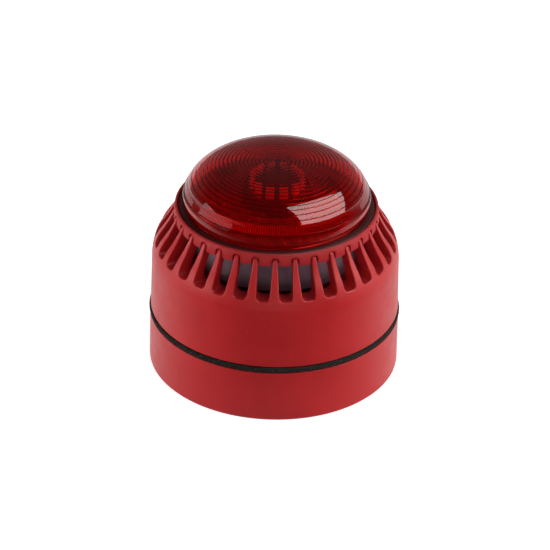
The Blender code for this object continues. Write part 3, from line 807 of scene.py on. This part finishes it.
def make_base(material):
    wall_profile = rounded(
        [
            (BASE_RIM_RADIUS, BASE_HEIGHT),
            (BASE_RADIUS, 0.9),
            (BASE_RADIUS - 0.9, 0.0),
            (BASE_INNER_RADIUS - 0.4, 0.0),
            (BASE_INNER_RADIUS - 0.4, 1.8),
            (BASE_INNER_RADIUS, 2.4),
            (BASE_INNER_RADIUS, BASE_HEIGHT),
        ],
        0.32,
        5,
    )
    wall = turned("base_wall", wall_profile, 288)
    weighted(smooth_sharp(wall, 50))
    dress(wall, material, "base", "base_shell", slot="red_casing")
    plate = make_back_plate()
    dress(plate, material, "base", "base_shell", slot="red_casing")
    for i, azimuth in enumerate(BASE_LUGS):
        start = math.radians(azimuth - 8)
        end = math.radians(azimuth + 8)
        lug = ring_piece(f"base_lug_{i + 1}", 42.2, BASE_INNER_RADIUS + 0.3, start, end, 14.8, 16.8)
        dress(lug, material, "base", "base_shell", slot="red_casing")
        stop = ring_piece(
            f"base_stop_{i + 1}", 42.2, BASE_INNER_RADIUS + 0.3, start - math.radians(3), start - math.radians(0.6), 11.8, 16.3
        )
        dress(stop, material, "base", "base_shell", slot="red_casing")


def ring_piece(name, inner, outer, start, end, bottom, top):
    """A short bar bent round the axis, with softened edges."""
    skin = Skin()
    rows = []
    for i in range(13):
        angle = start + (end - start) * i / 12
        corners = ((inner, bottom), (outer, bottom), (outer, top), (inner, top))
        rows.append([polar(radius, angle, height) for radius, height in corners])
    skin.sheet(rows, closed=True)
    skin.cap(rows[0])
    skin.cap(rows[-1])
    piece = skin.finished(name)
    soften(piece, 0.2)
    return piece


def soften(piece, width, segments=2):
    bevel = piece.modifiers.new("soft_edges", "BEVEL")
    bevel.width = width * MM
    bevel.segments = segments
    bevel.limit_method = "ANGLE"
    bevel.angle_limit = math.radians(35)
    bevel.harden_normals = True
    piece.data.shade_smooth()
    return piece


def make_back_plate():
    """The base's rear plate, with its cable entry and fixing slots."""
    curve = bpy.data.curves.new("base_back_plate", "CURVE")
    curve.dimensions = "2D"
    curve.fill_mode = "BOTH"
    curve.extrude = (BACK_PLATE / 2 - 0.3) * MM
    curve.bevel_depth = 0.2 * MM
    curve.bevel_resolution = 2
    outlines = [arc((0, 0), BASE_INNER_RADIUS - 0.55, 0, 358, 180), arc((0, 0), 10.2, 0, 355, 72)]
    for azimuth in FIXING_AZIMUTHS:
        outlines.append(slot_outline(29.0, azimuth, 10.4, 5.0))
    for outline in outlines:
        spline = curve.splines.new("POLY")
        spline.points.add(len(outline) - 1)
        spline.use_cyclic_u = True
        for point, (x, y) in zip(spline.points, outline):
            point.co = (x * MM, y * MM, 0, 1)
    guide = bpy.data.objects.new("plate_guide", curve)
    bpy.context.scene.collection.objects.link(guide)
    bpy.context.view_layer.update()
    mesh = bpy.data.meshes.new_from_object(guide.evaluated_get(bpy.context.evaluated_depsgraph_get()))
    bpy.data.objects.remove(guide, do_unlink=True)
    plate = bpy.data.objects.new("base_back_plate", mesh)
    bpy.context.scene.collection.objects.link(plate)
    plate.location.z = (BACK_PLATE / 2 + 0.15) * MM
    mesh.shade_smooth()
    smooth_sharp(plate)
    bpy.context.view_layer.update()
    return plate


def slot_outline(radius, azimuth, length, width):
    """A slot with round ends that points away from the axis."""
    turn = math.radians(azimuth)
    points = []
    for side, start in ((1, -90), (-1, 90)):
        middle = radius + side * (length - width) / 2
        for x, y in arc((middle, 0), width / 2, start, start + 180, 12):
            points.append((x * math.cos(turn) - y * math.sin(turn), x * math.sin(turn) + y * math.cos(turn)))
    return points


def make_gasket(material):
    """The foam ring, its face uneven where the foam was cut and squeezed."""
    steps = 720
    skin = Skin()
    inner = [(43.5, GASKET_TOP - 0.2), (43.5, GASKET_BOTTOM + 0.2)]
    outer = arc((45.75, GASKET_BOTTOM + 0.65), 0.62, -90, 0, 4) + arc((45.75, GASKET_TOP - 0.65), 0.62, 0, 90, 4)
    outer.insert(4, (46.4, (GASKET_BOTTOM + GASKET_TOP) / 2))
    profile = [*outer, *inner]
    profile.append(profile[0])
    rows = []
    for radius, height in profile:
        row = []
        for x, y, z in ring(radius, height, steps):
            rough = noise.noise(Vector((x, y, z)) * 2.1) * 0.09 + noise.noise(Vector((x, y, z)) * 0.35) * 0.06
            share = 1 + (min(rough, 0.06) if radius > 45 else 0.0) / radius
            row.append((x * share, y * share, z + rough * 0.5))
        rows.append(row)
    skin.sheet(rows, closed=True)
    gasket = skin.finished("foam_gasket")
    return dress(gasket, material, "base", "base_gasket", slot="gasket_foam")


# ---------------------------------------------------------------- horn


def make_horn(material):
    profile = [(0.01, 61.5), (19.5, 61.5), (23.4, 61.3)]
    profile += arc((23.3, 57.9), 3.4, 75, 8, 8)
    profile += [(26.9, 55.0), (27.15, 52.5), (27.6, 50.3), (28.3, 48.2), (29.1, 46.4)]
    profile += arc((29.0, 45.3), 0.62, 30, -90, 6)
    profile += arc((28.3, 45.2), 0.5, -90, -180, 4)
    profile += [(27.0, 48.0), (25.8, 52.0), (25.4, 57.0), (24.4, 58.9), (22.4, 59.6), (0.01, 59.6)]
    horn = turned("horn_bell", profile, 192, closed=False)
    smooth_sharp(horn, 40)
    return dress(horn, material, "head", "horn_cup", slot="horn_grey")


def make_chamber(material):
    """The chamber's floor and the throat that rises into the horn."""
    profile = rounded(
        [
            (15.6, 54.0), (12.4, 46.0), (10.4, 40.0), (11.6, 37.4), (42.9, 37.4),
            (42.9, 35.4), (8.0, 35.4), (8.6, 40.0), (10.6, 46.0), (14.0, 54.0),
        ],
        0.5,
        4,
    )  # fmt: skip
    floor = turned("sound_chamber_floor", profile, 144)
    smooth_sharp(floor, 40)
    return dress(floor, material, "head", "chamber_floor", slot="red_casing")


# ---------------------------------------------------------------- lens


def dome(shrink, height):
    """The lens curve's radius at a height, drawn in by a wall."""
    rise = (height - DOME_CENTRE) / (LENS_TOP - DOME_CENTRE - shrink)
    return (DOME_RADIUS - shrink) * max(0.0, 1 - rise**DOME_POWER) ** (1 / DOME_POWER)


def dome_height(shrink, radius):
    """The lens curve's height at a radius, drawn in by a wall."""
    share = min(1.0, radius / (DOME_RADIUS - shrink))
    return DOME_CENTRE + (LENS_TOP - DOME_CENTRE - shrink) * (1 - share**DOME_POWER) ** (1 / DOME_POWER)


def outer_lens_line():
    """From the apex to the flutes."""
    end = FLUTE_TOP[0] - 0.08
    count = 30
    line = []
    for i in range(count):
        radius = end * math.sin(math.pi / 2 * i / (count - 1)) ** 0.9
        line.append((radius, dome_height(0, radius)))
    return line


def grooved_line():
    """The lens's inner face from the rim to the apex, with a fine groove at each ring."""
    line = []
    radius = GROOVE_LAST
    while radius > GROOVE_PITCH:
        for offset, depth in ((0.0, 0.0), (-0.5, 1.0), (-1.0, 0.0), (-1.6, -0.18)):
            place = radius + offset * GROOVE_WIDTH
            line.append((place, dome_height(LENS_WALL, place) + depth * GROOVE_DEPTH))
        radius -= GROOVE_PITCH
    line.append((0.0, dome_height(LENS_WALL, 0.0)))
    return line


def zigzag(radius, height, depth):
    """A round row of points, every second one drawn in."""
    steps = FLUTE_COUNT * 2
    return [polar(radius - (depth if i % 2 else 0.0), 2 * math.pi * i / steps, height) for i in range(steps)]


def make_lens(material, groove_material, flute_material):
    steps = FLUTE_COUNT * 2
    skin = Skin()
    skin.sheet([ring(radius, height, steps) for radius, height in outer_lens_line()], closed=True)
    rows = [ring(*outer_lens_line()[-1], steps)]
    # The fluted side wall
    for i in range(5):
        t = i / 4
        radius = FLUTE_TOP[0] * (1 - t) + FLUTE_BOTTOM[0] * t
        rows.append(zigzag(radius, FLUTE_TOP[1] * (1 - t) + FLUTE_BOTTOM[1] * t, FLUTE_DEPTH))
    outer_faces = len(skin.faces)
    # The lip, and the skirt that stands in the collar
    rows.append(ring(33.62, 70.42, steps))
    rows.append(ring(33.95, 70.25, steps))
    for radius, height in [(34.2, 69.7), (34.38, 68.8), (34.42, 67.9), (34.34, 67.2)]:
        rows.append(zigzag(radius, height, LIP_FLUTE_DEPTH))
    skirt = arc((33.85, FLANGE_BOTTOM + 0.45), 0.45, -20, -90, 4)
    skirt += [(33.3, FLANGE_BOTTOM), (33.1, FLANGE_BOTTOM - 0.2), (33.1, LENS_BOTTOM + 0.2)]
    skirt += [(32.9, LENS_BOTTOM), (31.6, LENS_BOTTOM), (31.4, LENS_BOTTOM + 0.2), (31.6, 70.2), (31.1, 71.4)]
    rows += [ring(radius, height, steps) for radius, height in skirt]
    inner = grooved_line()
    rows.append(ring(*inner[0], steps))
    skin.sheet(rows, closed=True)
    first_inner = len(skin.faces)
    skin.sheet([ring(radius, height, steps) for radius, height in inner], closed=True)
    lens = skin.finished("beacon_lens")
    smooth_sharp(lens, 24)
    dress(lens, material, "head", "lens", slot="red_lens")
    lens.data.materials.append(groove_material)
    lens.data.materials.append(flute_material)
    for face in lens.data.polygons[outer_faces : outer_faces + steps * 5]:
        face.material_index = 2
    for face in lens.data.polygons[first_inner:]:
        face.material_index = 1
    return lens


def make_lens_seal(material):
    """The dark ring that fills the gap between the lens and the collar: partly the real seal, partly painted shade
    filling the dark band under the lens rim.
    """
    profile = rounded([(35.7, 63.3), (35.8, 64.3), (35.0, 64.5), (33.3, 64.5), (33.3, 63.3)], 0.3, 4)
    seal = turned("lens_seal_ring", profile, 240)
    return dress(smooth_sharp(seal, 50), material, "head", "lens_seal", slot="black_rubber")


# ---------------------------------------------------------------- beacon lamps


def make_lamp(index, package, phosphor):
    """One lamp: a pale package that stands on the carrier and faces outwards, with a round window."""
    azimuth = 2 * math.pi * (index + 0.5) / LAMP_COUNT
    turn = Matrix.Rotation(azimuth, 4, "Z")
    shape = bmesh.new()
    size = Matrix.Diagonal((*LAMP_SIZE, 1.0))
    centre = Matrix.Translation((LAMP_RADIUS, 0, LAMP_BOTTOM + LAMP_SIZE[2] / 2))
    bmesh.ops.create_cube(shape, size=1.0, matrix=centre @ size)
    bmesh.ops.bevel(shape, geom=shape.edges[:], offset=0.14, segments=2, affect="EDGES")
    count = len(shape.faces)
    face = Matrix.Translation((LAMP_RADIUS + LAMP_SIZE[0] / 2 + 0.03, 0, LAMP_BOTTOM + LAMP_SIZE[2] / 2))
    window = face @ Matrix.Rotation(math.pi / 2, 4, "Y")
    bmesh.ops.create_cone(
        shape, cap_ends=True, segments=40, radius1=1.25, radius2=1.12, depth=0.22, matrix=window
    )
    shape.faces.ensure_lookup_table()
    for part in shape.faces[count:]:
        part.material_index = 1
    mesh = bpy.data.meshes.new(f"lamp_{index + 1:02d}")
    shape.to_mesh(mesh)
    shape.free()
    mesh.transform(Matrix.Diagonal((MM, MM, MM, 1.0)) @ turn)
    lamp = bpy.data.objects.new(mesh.name, mesh)
    bpy.context.scene.collection.objects.link(lamp)
    mesh.shade_smooth()
    smooth_sharp(lamp, 30)
    dress(lamp, package, "head", f"led_{index + 1:02d}", slot="led_package")
    mesh.materials.append(phosphor)
    return lamp


def make_lamps(package, phosphor):
    for i in range(LAMP_COUNT):
        make_lamp(i, package, phosphor)


# ---------------------------------------------------------------- carried-over pieces


def finish_nodes(frame, materials):
    """Softens the edges of the CAD pieces that still show and gives each its material."""
    rules = [
        ("contact_carrier", "black", 0.3), ("contact_spring", "brass", 0.08), ("contact_blade", "brass", 0.12),
        ("terminal_screw", "steel", 0.12), ("cover_screw", "steel", 0.12), ("beacon_screw", "steel", 0.12),
        ("head_rear_cover", "black", 0.25), ("driver_seal", "rubber", 0.2), ("driver_disc", "brass", 0.05),
        ("driver_ceramic", "ceramic", 0.05), ("driver_cap", "black", 0.25), ("head_board", "green_board", 0.1),
        ("controller_chip", "chip", 0.15), ("drive_transformer", "winding", 0.2), ("head_capacitor", "chip", 0.3),
        ("setting_switch", "blue", 0.2), ("setting_slider", "white", 0.12), ("volume_trimmer", "blue", 0.2),
        ("volume_rotor", "white", 0.15), ("inner_lead", "sleeve", 0.0), ("beacon_deck", "casing", 0.15),
        ("beacon_board", "tan_board", 0.12), ("led_carrier", "black", 0.2),
        ("flash_capacitor", "chip", 0.35), ("beacon_choke", "winding", 0.2), ("beacon_chip", "chip", 0.15),
        ("lead_socket", "black", 0.2),
    ]  # fmt: skip
    replaced = {"head_shell", "base_shell", "base_gasket", "horn_cup", "chamber_floor", "lens", "lens_seal"}
    for name, node in frame["nodes"].items():
        if name in replaced or name.startswith("led_") and name != "led_carrier":
            continue
        for start, key, width in rules:
            if not name.startswith(start):
                continue
            node.data.materials.clear()
            node.data.materials.append(materials[key])
            if width:
                soften(node, width)
            break


def make_materials():
    return {
        "casing": make_casing_plastic(),
        # The collar is the casing's plastic painted darker: painted shade under the lens rim, with a painted
        # highlight along its edges.
        "collar": moulded("collar_red_painted_shade", (0.29, 0.0055, 0.0075), 0.5, gloss=0.25, edge=(0.40, 0.025, 0.028)),
        # The seal's dark red is partly the seal's own colour and partly painted shade for the dark band under the
        # lens rim.
        "seal": moulded("lens_seal_dark", (0.050, 0.0035, 0.0045), 0.5),
        "foam": make_foam(),
        "lens": make_lens_plastic("red_lens_plastic"),
        "lens_inner": make_lens_plastic("red_lens_inner_face", glow=0.05, grooved=True),
        # The fluted wall's glow is painted light: strongest at the front of the lens and in each flute.
        "lens_flutes": make_lens_plastic("red_lens_flutes_painted_glow", glow=0.95),
        "horn": moulded("horn_grey_gloss", (0.20, 0.12, 0.155), 0.19, 1.2, 0.006, 0.1),
        "black": moulded("black_moulding", (0.018, 0.018, 0.020), 0.5),
        "chip": moulded("black_component", (0.012, 0.011, 0.012), 0.42),
        "white": moulded("white_moulding", (0.80, 0.78, 0.74), 0.42, variation=0.04),
        "blue": moulded("blue_moulding", (0.03, 0.12, 0.42), 0.4),
        "rubber": moulded("black_rubber", (0.016, 0.015, 0.015), 0.75, 0.3, 0.02),
        "sleeve": moulded("lead_sleeve", (0.03, 0.03, 0.034), 0.6, 0.5, 0.05),
        "ceramic": moulded("fired_ceramic", (0.78, 0.76, 0.70), 0.55, variation=0.05),
        "brass": make_metal("brass_strip", (0.60, 0.40, 0.15), (0.80, 0.58, 0.26), 0.28),
        "steel": make_metal("zinc_plated_steel", (0.50, 0.50, 0.52), (0.72, 0.72, 0.73), 0.26),
        "green_board": make_board("green_board", (0.012, 0.10, 0.045), (0.03, 0.19, 0.09), 1.2),
        "tan_board": make_board("tan_board", (0.22, 0.12, 0.05), (0.31, 0.18, 0.075), 1.6),
        "led": make_led_package(),
        "winding": make_winding(),
    }


# ---------------------------------------------------------------- studio


def make_floor():
    """A pale floor that runs out of sight behind the object."""
    skin = Skin()
    rows = []
    for i in range(25):
        y = -4000.0 + 16000.0 * i / 24
        rows.append([(-8000.0 + 16000.0 * j / 24, y, 0.0) for j in range(25)])
    skin.sheet(rows)
    floor = skin.finished("studio_floor")
    floor.data.materials.append(make_floor_material())


def soft_light(name, azimuth, elevation, distance, size, power, spin=0.0):
    """An area light that faces the object. Azimuth 0 is at the camera, and 90 at its right."""
    lamp = bpy.data.lights.new(name, "AREA")
    lamp.shape = "RECTANGLE"
    lamp.size = size[0]
    lamp.size_y = size[1]
    lamp.energy = power
    lamp.color = (1.0, 0.985, 0.97)
    light = bpy.data.objects.new(name, lamp)
    bpy.context.scene.collection.objects.link(light)
    a = math.radians(azimuth)
    e = math.radians(elevation)
    way = Vector((math.sin(a) * math.cos(e), -math.cos(a) * math.cos(e), math.sin(e)))
    light.location = way * distance + Vector((0, 0, 0.05))
    facing = way.to_track_quat("Z", "Y")
    light.rotation_euler = (facing.to_matrix() @ Matrix.Rotation(math.radians(spin), 3, "Z")).to_euler()
    return light


def make_world():
    """White to the camera, a soft fill for matt surfaces, and in the gloss a dim glow that grows towards the back."""
    world = bpy.data.worlds.new("studio")
    bpy.context.scene.world = world
    world.use_nodes = True
    tree = world.node_tree
    path = tree.nodes.new("ShaderNodeLightPath")
    place = tree.nodes.new("ShaderNodeTexCoord")
    split = tree.nodes.new("ShaderNodeSeparateXYZ")
    tree.links.new(place.outputs["Generated"], split.inputs["Vector"])
    parts = []
    for axis, values in zip("YZ", BACK_IN_GLOSS):
        part = tree.nodes.new("ShaderNodeMapRange")
        part.interpolation_type = "SMOOTHSTEP"
        for socket, value in zip(("From Min", "From Max", "To Min", "To Max"), values):
            part.inputs[socket].default_value = value
        tree.links.new(split.outputs[axis], part.inputs["Value"])
        parts.append(part.outputs["Result"])
    glow = tree.nodes.new("ShaderNodeMath")
    glow.operation = "MULTIPLY_ADD"
    tree.links.new(parts[0], glow.inputs[0])
    tree.links.new(parts[1], glow.inputs[1])
    glow.inputs[2].default_value = SKY_IN_GLOSS
    strength = glow.outputs["Value"]
    for kind, value in (("Is Diffuse Ray", FILL_FROM_SKY), ("Is Camera Ray", 1.0)):
        both = tree.nodes.new("ShaderNodeMix")
        tree.links.new(path.outputs[kind], both.inputs["Factor"])
        tree.links.new(strength, both.inputs["A"])
        both.inputs["B"].default_value = value
        strength = both.outputs["Result"]
    tree.links.new(strength, tree.nodes["Background"].inputs["Strength"])
    tree.nodes["Background"].inputs["Color"].default_value = (1.0, 1.0, 1.0, 1.0)


def make_camera():
    data = bpy.data.cameras.new("camera")
    data.lens = CAMERA_LENS
    data.sensor_width = 36.0
    data.shift_x = CAMERA_SHIFT_X
    data.shift_y = CAMERA_SHIFT_Y
    data.clip_start = 0.1
    data.clip_end = 50.0
    camera = bpy.data.objects.new("camera", data)
    bpy.context.scene.collection.objects.link(camera)
    elevation = math.radians(CAMERA_ELEVATION)
    back = Vector((0, -math.cos(elevation), math.sin(elevation)))
    camera.location = (back * CAMERA_DISTANCE + Vector((0, 0, CAMERA_TARGET))) * MM
    facing = back.to_track_quat("Z", "Y").to_matrix()
    camera.rotation_euler = (facing @ Matrix.Rotation(math.radians(CAMERA_ROLL), 3, "Z")).to_euler()
    bpy.context.scene.camera = camera


def make_studio():
    make_floor()
    make_world()
    soft_light("softbox_right", 79, 47, 1.0, (0.94, 1.04), POWERS["right"], spin=52)
    sheen = soft_light("softbox_right_sheen", 79, 47, 1.01, (0.94, 1.04), POWERS["right_sheen"], spin=52)
    sheen.visible_diffuse = False
    soft_light("softbox_left", -79, 11, 1.1, (0.96, 0.62), POWERS["left"])
    for name, azimuth, size in (("side_right", 82, (1.2, 0.7)), ("side_left", -82, (1.2, 0.7)), ("front_fill", 0, (1.6, 0.7))):
        light = soft_light(name, azimuth, 3, 1.6, size, POWERS[name])
        light.visible_glossy = False
        light.visible_transmission = False
    bpy.context.scene.view_settings.view_transform = "Standard"


# ---------------------------------------------------------------- assembly

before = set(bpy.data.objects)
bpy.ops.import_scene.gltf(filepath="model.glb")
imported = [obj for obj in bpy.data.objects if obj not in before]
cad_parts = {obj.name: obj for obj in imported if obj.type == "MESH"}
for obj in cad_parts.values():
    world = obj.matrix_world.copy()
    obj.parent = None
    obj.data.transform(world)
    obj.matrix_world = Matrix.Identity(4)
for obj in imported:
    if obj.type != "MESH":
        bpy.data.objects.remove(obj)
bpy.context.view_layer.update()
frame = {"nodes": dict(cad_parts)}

materials = make_materials()
make_base(materials["casing"])
make_gasket(materials["foam"])
make_head_casing(materials["casing"])
make_collar(materials["collar"])
make_seat_ring(materials["casing"])
make_chamber(materials["casing"])
make_horn(materials["horn"])
make_lens_seal(materials["seal"])
make_lamps(materials["white"], materials["led"])
make_lens(materials["lens"], materials["lens_inner"], materials["lens_flutes"])
finish_nodes(frame, materials)
make_camera()
make_studio()
